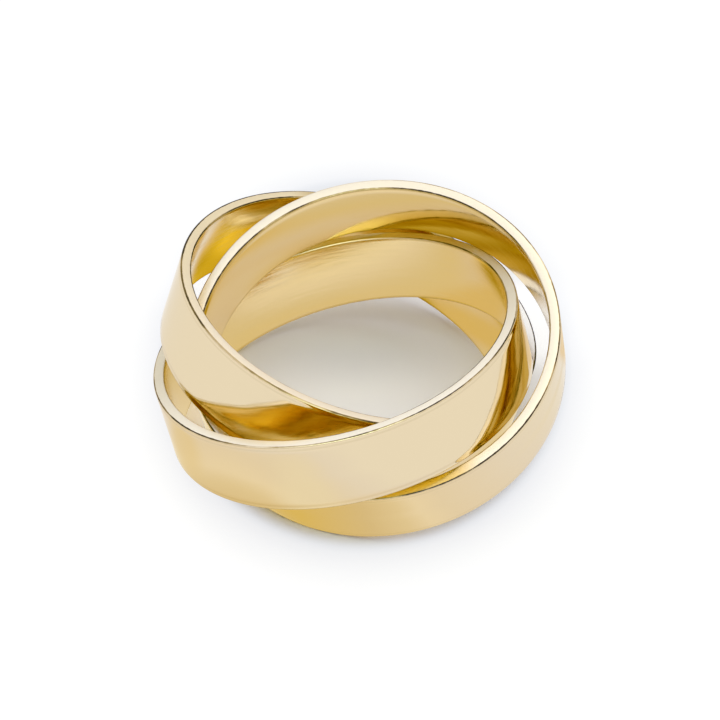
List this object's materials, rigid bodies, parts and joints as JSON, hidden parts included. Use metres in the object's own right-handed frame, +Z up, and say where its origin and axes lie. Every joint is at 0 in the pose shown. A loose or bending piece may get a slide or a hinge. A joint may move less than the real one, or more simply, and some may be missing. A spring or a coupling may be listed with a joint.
{
  "type": "triple band ring",
  "caption": "Finger ring of flat mirror-polished gold bands linked through one another and lying fanned out, each free to turn about its own axis.",
  "frame": {"origin": "on the surface it lies on, under the middle of the ring's outer box", "axes": "+Z up, along the way the finger goes in; +Y to the back, towards the high side of the back band; +X to the right, away from the high side of the left band"},
  "size_m": [0.0232, 0.0238, 0.0109],
  "materials": {
    "polished_gold": "pale yellow gold plate on brass, mirror polished, with faint turning lines inside the bands"
  },
  "bodies": {
    "front_band": {"front_band": "polished_gold"},
    "left_band": {"left_band": "polished_gold"},
    "back_band": {"back_band": "polished_gold"}
  },
  "joints": [
    {"name": "left_band_turn", "type": "hinge", "parent": "front_band", "child": "left_band", "pos_m": [-0.00068, 0.00132, 0.00504], "axis": [0.2609, 0.0651, 0.9632], "continuous": true},
    {"name": "back_band_turn", "type": "hinge", "parent": "front_band", "child": "back_band", "pos_m": [0.00096, -0.00075, 0.00547], "axis": [-0.1377, -0.3023, 0.9432], "continuous": true}
  ]
}
